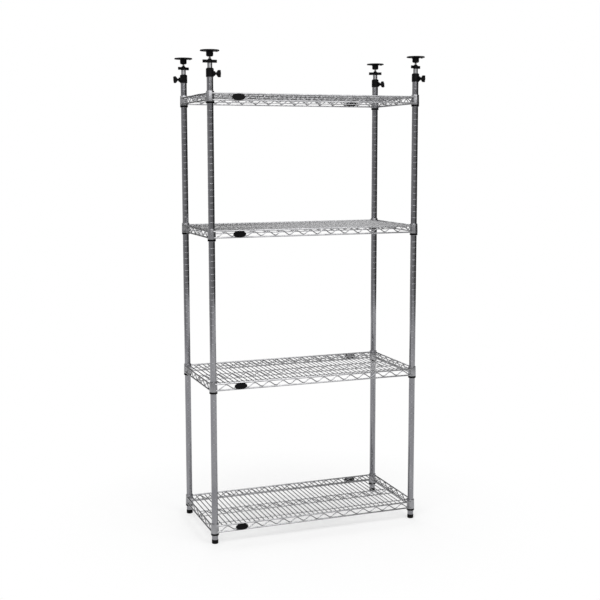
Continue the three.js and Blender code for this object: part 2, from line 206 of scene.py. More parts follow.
def makeFinish(name, light, dark, size, smooth, dull, worn, wear, dustiness, grain, depth, **shader):
    material = bpy.data.materials.new(name)
    material.use_nodes = True
    tree = material.node_tree
    surface = tree.nodes["Principled BSDF"]
    tone = addNode(tree, "ShaderNodeGroup", {"node_tree": platingTone}, Light=(*light, 1), Dark=(*dark, 1),
                   Size=size, Smooth=smooth, Dull=dull)
    edges = addNode(tree, "ShaderNodeGroup", {"node_tree": edgeWear}, Color=tone.outputs["Color"],
                    Worn=(*worn, 1), Amount=wear)
    dusty = addNode(tree, "ShaderNodeGroup", {"node_tree": dust}, Color=edges.outputs["Color"],
                    Amount=dustiness)
    dulled = product(tree, dusty.outputs["Mask"], effects["dustRoughness"])
    rough = calc(tree, "ADD", tone.outputs["Roughness"], dulled)
    bumps = addNode(tree, "ShaderNodeGroup", {"node_tree": fineGrain}, Size=grain)
    bump = addNode(tree, "ShaderNodeBump", Height=bumps.outputs[0], Strength=effects["bumpStrength"],
                   Distance=depth)
    tree.links.new(dusty.outputs["Color"], surface.inputs["Base Color"])
    tree.links.new(rough, surface.inputs["Roughness"])
    tree.links.new(bump.outputs[0], surface.inputs["Normal"])
    for label, value in shader.items():
        surface.inputs[label.replace("_", " ")].default_value = value
    return material


finishValues = dict(
    wire=dict(name="chromeWire", light=(0.36, 0.36, 0.37), dark=(0.21, 0.21, 0.22), size=45.0, smooth=0.1, dull=0.2,
              worn=(0.55, 0.55, 0.55), wear=0.3, dustiness=0.06, grain=2500.0, depth=0.00004, Metallic=1.0),
    collar=dict(name="chromeCollar", light=(0.33, 0.33, 0.345), dark=(0.26, 0.26, 0.27), size=60.0, smooth=0.24,
                dull=0.34, worn=(0.5, 0.5, 0.51), wear=0.3, dustiness=0.04, grain=2200.0, depth=0.00002,
                Metallic=1.0),
    tube=dict(name="chromeTube", light=(0.28, 0.28, 0.295), dark=(0.21, 0.21, 0.225), size=30.0, smooth=0.06,
              dull=0.14, worn=(0.45, 0.45, 0.46), wear=0.25, dustiness=0.03, grain=2000.0, depth=0.00001,
              Metallic=1.0),
    pole=dict(name="brightPole", light=(0.25, 0.25, 0.255), dark=(0.18, 0.18, 0.185), size=30.0, smooth=0.28,
              dull=0.4, worn=(0.5, 0.5, 0.5), wear=0.2, dustiness=0.03, grain=1500.0, depth=0.00001, Metallic=1.0),
    screw=dict(name="platedScrew", light=(0.42, 0.41, 0.4), dark=(0.24, 0.23, 0.22), size=120.0, smooth=0.25,
               dull=0.42, worn=(0.55, 0.54, 0.52), wear=0.5, dustiness=0.1, grain=1800.0, depth=0.00004,
               Metallic=1.0),
    plastic=dict(name="blackPlastic", light=(0.0035, 0.0035, 0.004), dark=(0.002, 0.002, 0.0025), size=60.0,
                 smooth=0.36, dull=0.5, worn=(0.015, 0.015, 0.016), wear=0.4, dustiness=0.01, grain=1600.0,
                 depth=0.00008, Specular_IOR_Level=0.06),
    rubber=dict(name="blackRubber", light=(0.004, 0.004, 0.004), dark=(0.002, 0.002, 0.002), size=50.0, smooth=0.7,
                dull=0.85, worn=(0.015, 0.015, 0.014), wear=0.5, dustiness=0.02, grain=1200.0, depth=0.00012,
                Specular_IOR_Level=0.1),
    plate=dict(name="blackPlate", light=(0.003, 0.003, 0.0035), dark=(0.0015, 0.0015, 0.002), size=80.0,
               smooth=0.24, dull=0.34, worn=(0.03, 0.03, 0.03), wear=0.4, dustiness=0.01, grain=1400.0,
               depth=0.00004, Specular_IOR_Level=0.1),
)
finishes = {finish: makeFinish(**values) for finish, values in finishValues.items()}
print("finishes made:", len(finishes))


# Mesh helpers

def meshObject(name, verts, faces):
    mesh = bpy.data.meshes.new(name)
    mesh.from_pydata([tuple(v) for v in verts], [], faces)
    mesh.validate()
    built = bmesh.new()
    built.from_mesh(mesh)
    bmesh.ops.recalc_face_normals(built, faces=built.faces)
    built.to_mesh(mesh)
    built.free()
    made = bpy.data.objects.new(name, mesh)
    scene.collection.objects.link(made)
    return made


def filleted(points, closed=True, steps=4):  # [x, y] or [x, y, fillet] points, with round corners put in
    mostShare = 0.48  # of a side, so that the fillets at its two ends never meet
    out = []
    for i, point in enumerate(points):
        here = Vector(point[:2])
        fillet = point[2] if len(point) > 2 else 0
        if not fillet or (not closed and i in (0, len(points) - 1)):
            out.append(here)
            continue
        back = Vector(points[i - 1][:2]) - here
        ahead = Vector(points[(i + 1) % len(points)][:2]) - here
        cut = min(fillet / math.tan(back.angle(ahead) / 2), back.length * mostShare, ahead.length * mostShare)
        start, end = here + back.normalized() * cut, here + ahead.normalized() * cut
        for k in range(steps + 1):
            t = k / steps
            out.append(start * (1 - t) ** 2 + here * 2 * t * (1 - t) + end * t * t)
    return out


def turned(name, profile, sides=32, sweep=turn, start=0.0):  # up the outside, down the inside or to the axis
    full = sweep > turn - tiny
    stops = sides if full else sides + 1
    verts, rings = [], []
    for radius, height in profile:
        if radius < tiny:
            rings.append([len(verts)] * stops)
            verts.append((0, 0, height))
            continue
        rings.append(list(range(len(verts), len(verts) + stops)))
        for i in range(stops):
            angle = start + sweep * i / sides
            verts.append((radius * math.cos(angle), radius * math.sin(angle), height))
    faces = []
    for low, high in zip(rings, rings[1:] + rings[:1]):
        for i in range(sides):
            j = (i + 1) % stops
            face = list(dict.fromkeys((low[i], low[j], high[j], high[i])))
            if len(face) > 2:
                faces.append(face)
    if not full:
        faces += [[ring[0] for ring in rings], [ring[-1] for ring in reversed(rings)]]
    return meshObject(name, verts, faces)


def bar(name, start, end, radius, endRadius=None, sides=16):
    start, end = Vector(start), Vector(end)
    endRadius = radius if endRadius is None else endRadius
    length = (end - start).length
    made = turned(name, [(0, 0), (radius, 0), (endRadius, length), (0, length)], sides)
    aim = (end - start).to_track_quat("Z", "Y").to_matrix().to_4x4()
    made.data.transform(Matrix.Translation(start) @ aim)
    return made


def slab(name, outline, low, high):  # a flat outline of [x, y] points between two heights
    count = len(outline)
    verts = [(x, y, low) for x, y in outline] + [(x, y, high) for x, y in outline]
    faces = [list(range(count))[::-1], list(range(count, count * 2))]
    faces += [[i, (i + 1) % count, (i + 1) % count + count, i + count] for i in range(count)]
    return meshObject(name, verts, faces)


def joined(name, pieces):
    built = bmesh.new()
    for piece in pieces:
        built.from_mesh(piece.data)
        bpy.data.objects.remove(piece)
    mesh = bpy.data.meshes.new(name)
    built.to_mesh(mesh)
    built.free()
    made = bpy.data.objects.new(name, mesh)
    scene.collection.objects.link(made)
    return made


def applied(piece):  # bakes the piece's modifiers into a plain mesh
    bpy.context.view_layer.update()
    mesh = bpy.data.meshes.new_from_object(piece.evaluated_get(bpy.context.evaluated_depsgraph_get()))
    piece.modifiers.clear()
    piece.data = mesh
    return piece


def combined(piece, tool, operation, solver="EXACT", keepTool=False):
    modifier = piece.modifiers.new("Combine", "BOOLEAN")
    modifier.object, modifier.operation, modifier.solver = tool, operation, solver
    if solver == "EXACT":
        modifier.use_self = True
    applied(piece)
    if not keepTool:
        bpy.data.objects.remove(tool)
    return piece


def moulded(name, pieces, voxel, passes):  # pieces melted into one, with soft edges and blends
    made = joined(name, pieces)
    remesh = made.modifiers.new("Melt", "REMESH")
    remesh.mode, remesh.voxel_size = "VOXEL", voxel
    smooth = made.modifiers.new("Soften", "SMOOTH")
    smooth.factor, smooth.iterations = 0.5, passes
    return applied(made)


def settle(name, source, place, body, finish, nodes=(), sharp=32):
    mesh = source.data.copy()
    mesh.transform(Matrix.Scale(mm, 4) @ place)
    mesh.name = name
    piece = bpy.data.objects.new(name, mesh)
    scene.collection.objects.link(piece)
    mesh.materials.clear()
    mesh.materials.append(finishes[finish])
    mesh.shade_smooth()
    mesh.set_sharp_from_angle(angle=math.radians(sharp))
    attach(piece, body)
    if nodes:
        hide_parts(*nodes)
    return piece


def grown(name, tree, values):  # runs a node tree and keeps its result as a plain mesh
    made = bpy.data.objects.new(name, bpy.data.meshes.new(name))
    scene.collection.objects.link(made)
    modifier = made.modifiers.new("Nodes", "NODES")
    modifier.node_group = tree
    for item in tree.interface.items_tree:
        if item.in_out == "INPUT" and item.name in values:
            modifier[item.identifier] = values[item.name]
    return applied(made)


def newShapeTree(name, inputs):
    return newTree(name, "GeometryNodeTree", [*inputs, ("Material", "NodeSocketMaterial", None)],
                   [("Geometry", "NodeSocketGeometry")])


def finishTree(tree, given, out, geometry):
    real = addNode(tree, "GeometryNodeRealizeInstances", Geometry=geometry).outputs[0]
    painted = addNode(tree, "GeometryNodeSetMaterial", Geometry=real, Material=given["Material"])
    tree.links.new(painted.outputs[0], out["Geometry"])
    return tree


# Node trees for what repeats

bead = dict(segments=8, rings=5, waveSmallest=0.8, waveLargest=1.1, waveSeed=3, waveStretch=1.5, waveFlatness=0.45,
            rowSmallest=0.82, rowLargest=1.12)
bends = dict(pointsPerWave=20.0, sectionSides=8)
threadEnds = dict(axisWithin=0.0001, mergeWithin=0.01)


def rowPoints(tree, given, **across):  # points side by side along X, with their middle at zero
    last = calc(tree, "SUBTRACT", given["Count"], 1.0)
    first = product(tree, last, given["Pitch"], -0.5)
    start = addNode(tree, "ShaderNodeCombineXYZ", X=first, Z=given["Height"], **across).outputs[0]
    step = addNode(tree, "ShaderNodeCombineXYZ", X=given["Pitch"]).outputs[0]
    return addNode(tree, "GeometryNodeMeshLine", Count=given["Count"], Start_Location=start,
                   Offset=step).outputs[0]


def beadShape(tree, given, label):
    return addNode(tree, "GeometryNodeMeshUVSphere", Segments=bead["segments"], Rings=bead["rings"],
                   Radius=given[label]).outputs[0]


def beadSize(tree, smallest, largest, seed):
    return addNode(tree, "FunctionNodeRandomValue", {"data_type": "FLOAT"}, in2=smallest, in3=largest,
                   Seed=seed).outputs[1]


def makeWireRow():  # straight wires side by side, each along Y
    inputs = [("Count", whole, 42), ("Pitch", number, 20.0), ("Length", number, 400.0), ("Height", number, 0.0),
              ("Radius", number, 1.6), ("Sides", whole, 12)]
    tree, given, out = newShapeTree("wireRow", inputs)
    wire = addNode(tree, "GeometryNodeMeshCylinder", Vertices=given["Sides"], Radius=given["Radius"],
                   Depth=given["Length"])
    row = addNode(tree, "GeometryNodeInstanceOnPoints", Points=rowPoints(tree, given), Instance=wire.outputs[0],
                  Rotation=(turn / 4, 0, 0))
    return finishTree(tree, given, out, row.outputs[0])


def makeWavedWire():  # a wire bent in waves along X, with a weld at each bend
    inputs = [("Waves", whole, 14), ("Pitch", number, 60.0), ("Low", number, 0.0), ("High", number, 16.0),
              ("Bend", number, 0.94), ("Radius", number, 1.8), ("Weld Radius", number, 2.2)]
    tree, given, out = newShapeTree("wavedWire", inputs)
    length = product(tree, given["Waves"], given["Pitch"])
    half = product(tree, length, 0.5)
    start = addNode(tree, "ShaderNodeCombineXYZ", X=product(tree, half, -1.0)).outputs[0]
    end = addNode(tree, "ShaderNodeCombineXYZ", X=half).outputs[0]
    line = addNode(tree, "GeometryNodeCurvePrimitiveLine", in0=start, in1=end).outputs[0]
    points = calc(tree, "ADD", product(tree, given["Waves"], bends["pointsPerWave"]), 1.0)
    fine = addNode(tree, "GeometryNodeResampleCurve", Curve=line, Count=points).outputs[0]
    middle = product(tree, calc(tree, "ADD", given["Low"], given["High"]), 0.5)
    swing = product(tree, calc(tree, "SUBTRACT", given["High"], given["Low"]), 0.5)
    factor = addNode(tree, "GeometryNodeSplineParameter").outputs["Factor"]
    angle = product(tree, factor, given["Waves"], turn)
    bent = calc(tree, "ARCSINE", product(tree, calc(tree, "COSINE", angle), given["Bend"]))
    level = calc(tree, "DIVIDE", bent, calc(tree, "ARCSINE", given["Bend"]))  # straight legs, round bends
    height = calc(tree, "SUBTRACT", middle, product(tree, level, swing))
    offset = addNode(tree, "ShaderNodeCombineXYZ", Z=height).outputs[0]
    wave = addNode(tree, "GeometryNodeSetPosition", Geometry=fine, Offset=offset).outputs[0]
    section = addNode(tree, "GeometryNodeCurvePrimitiveCircle", Resolution=bends["sectionSides"],
                      Radius=given["Radius"])
    wire = addNode(tree, "GeometryNodeCurveToMesh", Curve=wave, Profile_Curve=section.outputs[0], Fill_Caps=True)
    touches = calc(tree, "ADD", product(tree, given["Waves"], 2.0), 1.0)
    coarse = addNode(tree, "GeometryNodeResampleCurve", Curve=line, Count=touches).outputs[0]
    odd = calc(tree, "MODULO", addNode(tree, "GeometryNodeInputIndex").outputs[0], 2.0)
    reach = calc(tree, "ADD", swing, given["Radius"])
    side = calc(tree, "SUBTRACT", product(tree, odd, 2.0), 1.0)
    touch = calc(tree, "ADD", middle, product(tree, side, reach))
    lift = addNode(tree, "ShaderNodeCombineXYZ", Z=touch).outputs[0]
    touching = addNode(tree, "GeometryNodeSetPosition", Geometry=coarse, Offset=lift).outputs[0]
    size = beadSize(tree, bead["waveSmallest"], bead["waveLargest"], bead["waveSeed"])
    scale = addNode(tree, "ShaderNodeCombineXYZ", X=product(tree, size, bead["waveStretch"]), Y=size,
                    Z=product(tree, size, bead["waveFlatness"])).outputs[0]
    welds = addNode(tree, "GeometryNodeInstanceOnPoints", Points=touching,
                    Instance=beadShape(tree, given, "Weld Radius"), Scale=scale)
    both = addNode(tree, "GeometryNodeJoinGeometry")
    tree.links.new(wire.outputs[0], both.inputs[0])
    tree.links.new(welds.outputs[0], both.inputs[0])
    return finishTree(tree, given, out, both.outputs[0])


def makeWeldRow():  # small flat beads where the surface wires cross a bar
    inputs = [("Count", whole, 42), ("Pitch", number, 20.0), ("Y", number, 0.0), ("Height", number, 0.0),
              ("Radius", number, 2.0), ("Flatness", number, 0.5), ("Seed", whole, 1)]
    tree, given, out = newShapeTree("weldRow", inputs)
    size = beadSize(tree, bead["rowSmallest"], bead["rowLargest"], given["Seed"])
    flat = product(tree, size, given["Flatness"])
    scale = addNode(tree, "ShaderNodeCombineXYZ", X=size, Y=size, Z=flat).outputs[0]
    row = addNode(tree, "GeometryNodeInstanceOnPoints", Points=rowPoints(tree, given, Y=given["Y"]),
                  Instance=beadShape(tree, given, "Radius"), Scale=scale)
    return finishTree(tree, given, out, row.outputs[0])


def makeThread():  # a rod along Z whose wall is a screw thread, with tapered ends
    inputs = [("Length", number, 94.0), ("Radius", number, 4.5), ("Depth", number, 0.5), ("Lead", number, 1.5),
              ("Steps", whole, 6), ("Sides", whole, 20)]
    tree, given, out = newShapeTree("thread", inputs)
    rings = product(tree, calc(tree, "DIVIDE", given["Length"], given["Lead"]), given["Steps"])
    across = calc(tree, "ADD", given["Sides"], 1.0)
    grid = addNode(tree, "GeometryNodeMeshGrid", Size_X=1.0, Size_Y=1.0, Vertices_X=across, Vertices_Y=rings)
    place = addNode(tree, "ShaderNodeSeparateXYZ", Vector=addNode(tree, "GeometryNodeInputPosition").outputs[0])
    angle = product(tree, place.outputs[0], turn)
    up = calc(tree, "ADD", place.outputs[1], 0.5)
    height = product(tree, up, given["Length"])
    winding = calc(tree, "SUBTRACT", calc(tree, "DIVIDE", height, given["Lead"]), place.outputs[0])
    groove = product(tree, calc(tree, "PINGPONG", winding, 0.5), 2.0)
    sunk = calc(tree, "SUBTRACT", given["Radius"], product(tree, groove, given["Depth"]))
    edge = calc(tree, "MINIMUM", height, calc(tree, "SUBTRACT", given["Length"], height))
    ending = calc(tree, "MINIMUM", calc(tree, "DIVIDE", edge, given["Depth"]), 1.0)
    core = calc(tree, "SUBTRACT", given["Radius"], given["Depth"])
    rounded = calc(tree, "ADD", core, product(tree, calc(tree, "SUBTRACT", sunk, core), ending))
    inner = calc(tree, "GREATER_THAN", edge, threadEnds["axisWithin"])  # the end rings close on the axis
    radius = product(tree, rounded, inner)
    x = product(tree, calc(tree, "COSINE", angle), radius)
    y = product(tree, calc(tree, "SINE", angle), radius)
    spot = addNode(tree, "ShaderNodeCombineXYZ", X=x, Y=y, Z=height).outputs[0]
    wall = addNode(tree, "GeometryNodeSetPosition", Geometry=grid.outputs[0], Position=spot).outputs[0]
    closed = addNode(tree, "GeometryNodeMergeByDistance", Geometry=wall, Distance=threadEnds["mergeWithin"])
    return finishTree(tree, given, out, closed.outputs[0])


wireRow, wavedWire, weldRow, thread = makeWireRow(), makeWavedWire(), makeWeldRow(), makeThread()
print("node trees made")


# Camera, fitted to the photograph

view = dict(lens=65.1, sensor=36, shift=-0.02, nearest=0.1, farthest=60, place=(-1.6097, -4.2947, 1.575),
            yaw=-20.601, pitch=-7.139, roll=-0.066)


def makeCamera():
    camera = bpy.data.objects.new("camera", bpy.data.cameras.new("camera"))
    scene.collection.objects.link(camera)
    camera.data.lens, camera.data.sensor_width, camera.data.shift_y = view["lens"], view["sensor"], view["shift"]
    camera.data.clip_start, camera.data.clip_end = view["nearest"], view["farthest"]
    camera.location = view["place"]
    yaw, pitch, roll = (math.radians(view[key]) for key in ("yaw", "pitch", "roll"))
    level = Matrix.Rotation(yaw, 3, "Z") @ Matrix.Rotation(turn / 4 + pitch, 3, "X")
    camera.rotation_euler = (level @ Matrix.Rotation(roll, 3, "Z")).to_euler()
    scene.camera = camera


makeCamera()


# Studio: white world, pale floor, soft lamps, and cards that only the chrome sees

studio = dict(worldFill=0.62, floorColour=0.93, floorSize=16.0, floorHeight=-0.0003, floorRoughness=0.9,
              floorSheen=0.1, fadeStart=-0.3, fadeEnd=1.1, lampTarget=(0, 0, 1.0))


def seenDirectly(tree):  # 1 for rays from the camera and for those that mirror or pass through, else 0
    path = addNode(tree, "ShaderNodeLightPath").outputs
    return calc(tree, "MAXIMUM", calc(tree, "MAXIMUM", path["Is Camera Ray"], path["Is Glossy Ray"]),
                path["Is Transmission Ray"])


def makeWorld():
    world = bpy.data.worlds.new("studio")
    scene.world = world
    world.use_nodes = True
    tree = world.node_tree
    strength = addNode(tree, "ShaderNodeMapRange", Value=seenDirectly(tree), in3=studio["worldFill"],
                       in4=1.0).outputs[0]
    background = tree.nodes["Background"]
    background.inputs["Color"].default_value = (1, 1, 1, 1)
    tree.links.new(strength, background.inputs["Strength"])


def makeFloor():
    half, z = studio["floorSize"] / 2, studio["floorHeight"]
    floor = meshObject("floor", [(-half, -half, z), (half, -half, z), (half, half, z), (-half, half, z)],
                       [(0, 1, 2, 3)])
    material = bpy.data.materials.new("paleFloor")
    material.use_nodes = True
    tree = material.node_tree
    matte = tree.nodes["Principled BSDF"]
    matte.inputs["Base Color"].default_value = (*[studio["floorColour"]] * 3, 1)
    matte.inputs["Roughness"].default_value = studio["floorRoughness"]
    matte.inputs["Specular IOR Level"].default_value = studio["floorSheen"]
    white = addNode(tree, "ShaderNodeEmission", Strength=1.0)
    place = addNode(tree, "ShaderNodeTexCoord").outputs["Object"]
    away = addNode(tree, "ShaderNodeVectorMath", {"operation": "LENGTH"}, in0=place).outputs["Value"]
    fade = addNode(tree, "ShaderNodeMapRange", Value=away, in1=studio["fadeStart"], in2=studio["fadeEnd"])
    share = product(tree, seenDirectly(tree), fade.outputs[0])
    mixed = addNode(tree, "ShaderNodeMixShader", in0=share, in1=matte.outputs[0], in2=white.outputs[0])
    tree.links.new(mixed.outputs[0], tree.nodes["Material Output"].inputs["Surface"])
    floor.data.materials.append(material)


lamps = dict(
    key=dict(place=(-2.3, -3.0, 5.2), size=2.6, power=105),
    fill=dict(place=(1.7, -3.6, 5.0), size=2.6, power=75),
    back=dict(place=(0.4, 3.6, 3.4), size=2.6, power=45),
)
cards = dict(  # tone is how light the card is in the chrome
    rightFlag=dict(place=(2.55, -0.1, 2.4), outward=(0.965, -0.26, 0), width=6.2, height=3.7, tone=0.09),
    backCard=dict(place=(1.0, 4.2, 2.3), outward=(0, 1, 0), width=10.0, height=4.2, tone=0.17),
    leftCard=dict(place=(-4.6, -1.0, 1.2), outward=(1, 0.2, 0), width=7.5, height=2.4, tone=0.5),
    frontCard=dict(place=(-0.4, -5.5, 1.25), outward=(-0.05, -1, 0), width=11.5, height=2.1, tone=0.4),
    upperCard=dict(place=(-0.4, -5.5, 3.1), outward=(-0.05, -1, 0), width=11.5, height=1.6, tone=3.0),
)


def makeLamps():
    target = Vector(studio["lampTarget"])
    for name, lamp in lamps.items():
        data = bpy.data.lights.new(name, "AREA")
        data.size, data.energy = lamp["size"], lamp["power"]
        made = bpy.data.objects.new(name, data)
        scene.collection.objects.link(made)
        made.location = lamp["place"]
        made.rotation_euler = (Vector(lamp["place"]) - target).to_track_quat("Z", "Y").to_euler()
    for name, card in cards.items():
        w, h = card["width"] / 2, card["height"] / 2
        made = meshObject(name, [(-w, 0, -h), (w, 0, -h), (w, 0, h), (-w, 0, h)], [(0, 1, 2, 3)])
        facing = Vector(card["outward"]).to_track_quat("Y", "Z").to_matrix().to_4x4()
        made.data.transform(Matrix.Translation(card["place"]) @ facing)
        paper = bpy.data.materials.new(name + "Paper")
        paper.use_nodes = True
        shown = addNode(paper.node_tree, "ShaderNodeEmission", Strength=card["tone"])
        paper.node_tree.links.new(shown.outputs[0], paper.node_tree.nodes["Material Output"].inputs["Surface"])
        made.data.materials.append(paper)
        made.visible_camera = made.visible_diffuse = made.visible_shadow = made.visible_transmission = False


makeWorld()
makeFloor()
makeLamps()
print("studio ready")


# Posts: tube with a ring groove every pitch, a turned foot cap, and a hole for the wing bolt

post = dict(radius=12.7, wall=1.5, pitch=25.4, firstGroove=16.5, depth=0.3, halfWidth=0.85, topMargin=6.0,
            endRound=0.5, mouthRound=0.3, plainLow=8.0, plainHigh=2.0, sides=32, boltHole=3.3, holeIn=3.0,
            holeOut=4.0, grooveShape=((-1, 0), (-0.6, 0.7), (-0.2, 1), (0.2, 1), (0.6, 0.7), (1, 0)))
foot = dict(radius=13.3, height=16.0, chamfer=1.2, round=0.7, lineHeight=12.6, lineDepth=0.45, lineHalf=0.5,
            lineFloor=0.2, plugGap=0.3, plugRound=1.0, sides=40)


def makePost():
    r, mouth = post["radius"], post["mouthRound"]
    inside = r - post["wall"]
    profile = filleted([(inside, postLow, mouth), (r, postLow, post["endRound"]), (r, postLow + post["plainLow"])],
                       False)
    grooves = int((postHigh - postLow - post["firstGroove"] - post["topMargin"]) / post["pitch"]) + 1
    for i in range(grooves):
        z = postLow + post["firstGroove"] + i * post["pitch"]
        for share, sunk in post["grooveShape"]:
            profile.append((r - post["depth"] * sunk, z + post["halfWidth"] * share))
    profile += filleted([(r, postHigh - post["plainHigh"]), (r, postHigh, post["endRound"]),
                         (inside, postHigh, mouth), (inside, postLow + 1)], False)
    tube = turned("postTube", profile, post["sides"])
    hole = bar("boltHole", (r - post["holeIn"], 0, boltHeight), (r + post["holeOut"], 0, boltHeight),
               post["boltHole"], sides=20)
    return combined(tube, hole, "DIFFERENCE", "MANIFOLD")


def makeFootCap():
    r, top = foot["radius"], foot["height"]
    plug = post["radius"] - post["wall"] - foot["plugGap"]
    plugTop = heightsOf("foot_cap")[1]
    z, half, floor, sunk = foot["lineHeight"], foot["lineHalf"], foot["lineFloor"], r - foot["lineDepth"]
    return turned("footCap", filleted([
        (0, 0), (r - foot["chamfer"], 0, 0.3), (r, foot["chamfer"], foot["round"]), (r, z - half),
        (sunk, z - floor), (sunk, z + floor), (r, z + half), (r, top, 0.5), (plug, top, 0.2),
        (plug, plugTop, foot["plugRound"]), (0, plugTop),
    ], False), foot["sides"])


postTube, footCap = makePost(), makeFootCap()
for corner in cornerNames:
    settle("groovedPost_" + corner, postTube, cornerPlace(corner), "root", "tube", ["post_" + corner], 28)
    settle("footCup_" + corner, footCap, cornerPlace(corner), "root", "rubber", ["foot_cap_" + corner])
print("posts made")


# Split sleeves: two half cones that clip in a groove and wedge in a collar

sleeve = dict(length=45.5, ribHeight=22.0, topWall=1.0, footWall=2.2, rim=16.3, rimTop=4.6, rimHeight=6.0,
              rimDrop=1.5, slit=1.8, bore=13.0, slitTurn=22.5, sides=20)
sleeveTaper = (sleeve["footWall"] - sleeve["topWall"]) / sleeve["length"]


def sleeveRadius(height):
    return sleeve["bore"] + sleeve["topWall"] + sleeveTaper * (sleeve["length"] - height)


def makeSleeve():
    bore, rim, rib, half = sleeve["bore"], sleeve["rim"], sleeve["ribHeight"], post["halfWidth"]
    low, neck, high = -sleeve["rimDrop"], sleeve["rimHeight"], sleeve["length"]
    profile = filleted([
        (bore, low, 0.3), (rim, low, 0.6), (rim, sleeve["rimTop"], 0.4), (sleeveRadius(neck), neck, 0.4),
        (sleeveRadius(high), high, 0.3), (bore, high, 0.3), (bore, rib + half), (bore - post["depth"], rib),
        (bore, rib - half),
    ])
    gap = sleeve["slit"] / sleeveRadius(0)
    halves = []
    for side in (0, 1):
        start = math.radians(sleeve["slitTurn"]) + side * turn / 2 + gap / 2
        halves.append(turned(f"halfSleeve{side}", profile, sleeve["sides"], turn / 2 - gap, start))
    return joined("sleeve", halves)


splitSleeve = makeSleeve()
for level, height in enumerate(shelfHeights, 1):
    for corner in cornerNames:
        settle(f"splitSleeve_{level}_{corner}", splitSleeve, cornerPlace(corner, height), "root", "plastic",
               [f"sleeve_{level}_{corner}"])
print("sleeves made")


# Shelves, with height zero at the sleeves' lower ends

shelf = dict(
    collarWall=1.2, collarHeight=40.2, collarGap=0.3, collarRound=0.5, collarSides=40, boreOver=2.0,
    topRail=37.5, bottomRail=12.2, rail=3.1, railInset=3.0, railSides=14,
    wirePitch=20.0, wireMargin=30.0, wire=2.0, wireHeight=37.1, wireInset=1.2, barSides=12,
    stringerInset=48.0, stringer=1.7, stringerBite=0.05, midRail=2.1, midTop=33.7,
    wavePitch=60.0, wave=2.05, waveBite=0.15, bend=0.5, weld=2.4,
    deckWeld=2.3, deckWeldFlatness=0.42, railWeld=2.2, railWeldFlatness=0.8, railWeldSeed=5,
)
collarLow = sleeve["rimHeight"] + shelf["collarGap"]
collarHigh = collarLow + shelf["collarHeight"]


def collarBore(height):
    return sleeveRadius(height) + shelf["collarGap"]


# How far out the rails of the four sides lie
railOffset = collarBore(collarHigh) + shelf["collarWall"] - shelf["railInset"]
railX, railY = halfSpanX + railOffset, halfSpanY + railOffset


def makeShelfFrame():  # the outer rails and the corner collars, all cut by the collars' bores
    s = shelf
    low, high, over = collarLow, collarHigh, s["boreOver"]
    collars, rails, bores = [], [], []
    for sx in (-1, 1):
        for sy in (-1, 1):
            collar = turned("collar", filleted([
                (0, low), (collarBore(low) + s["collarWall"], low, s["collarRound"]),
                (collarBore(high) + s["collarWall"], high, s["collarRound"]), (0, high)], False), s["collarSides"])
            bore = turned("bore", [(0, low - over), (collarBore(low - over), low - over),
                                   (collarBore(high + over), high + over), (0, high + over)], s["collarSides"])
            for piece in (collar, bore):
                piece.data.transform(Matrix.Translation((sx * halfSpanX, sy * halfSpanY, 0)))
            collars.append(collar)
            bores.append(bore)
        for z in (s["topRail"], s["bottomRail"]):
            x, y = sx * railX, sx * railY
            rails.append(bar("rail", (-halfSpanX, y, z), (halfSpanX, y, z), s["rail"], sides=s["railSides"]))
            rails.append(bar("rail", (x, -halfSpanY, z), (x, halfSpanY, z), s["rail"], sides=s["railSides"]))
    cutter = joined("bores", bores)
    outer = combined(joined("shelfRails", rails), cutter, "DIFFERENCE", keepTool=True)
    return outer, combined(joined("shelfCollars", collars), cutter, "DIFFERENCE")


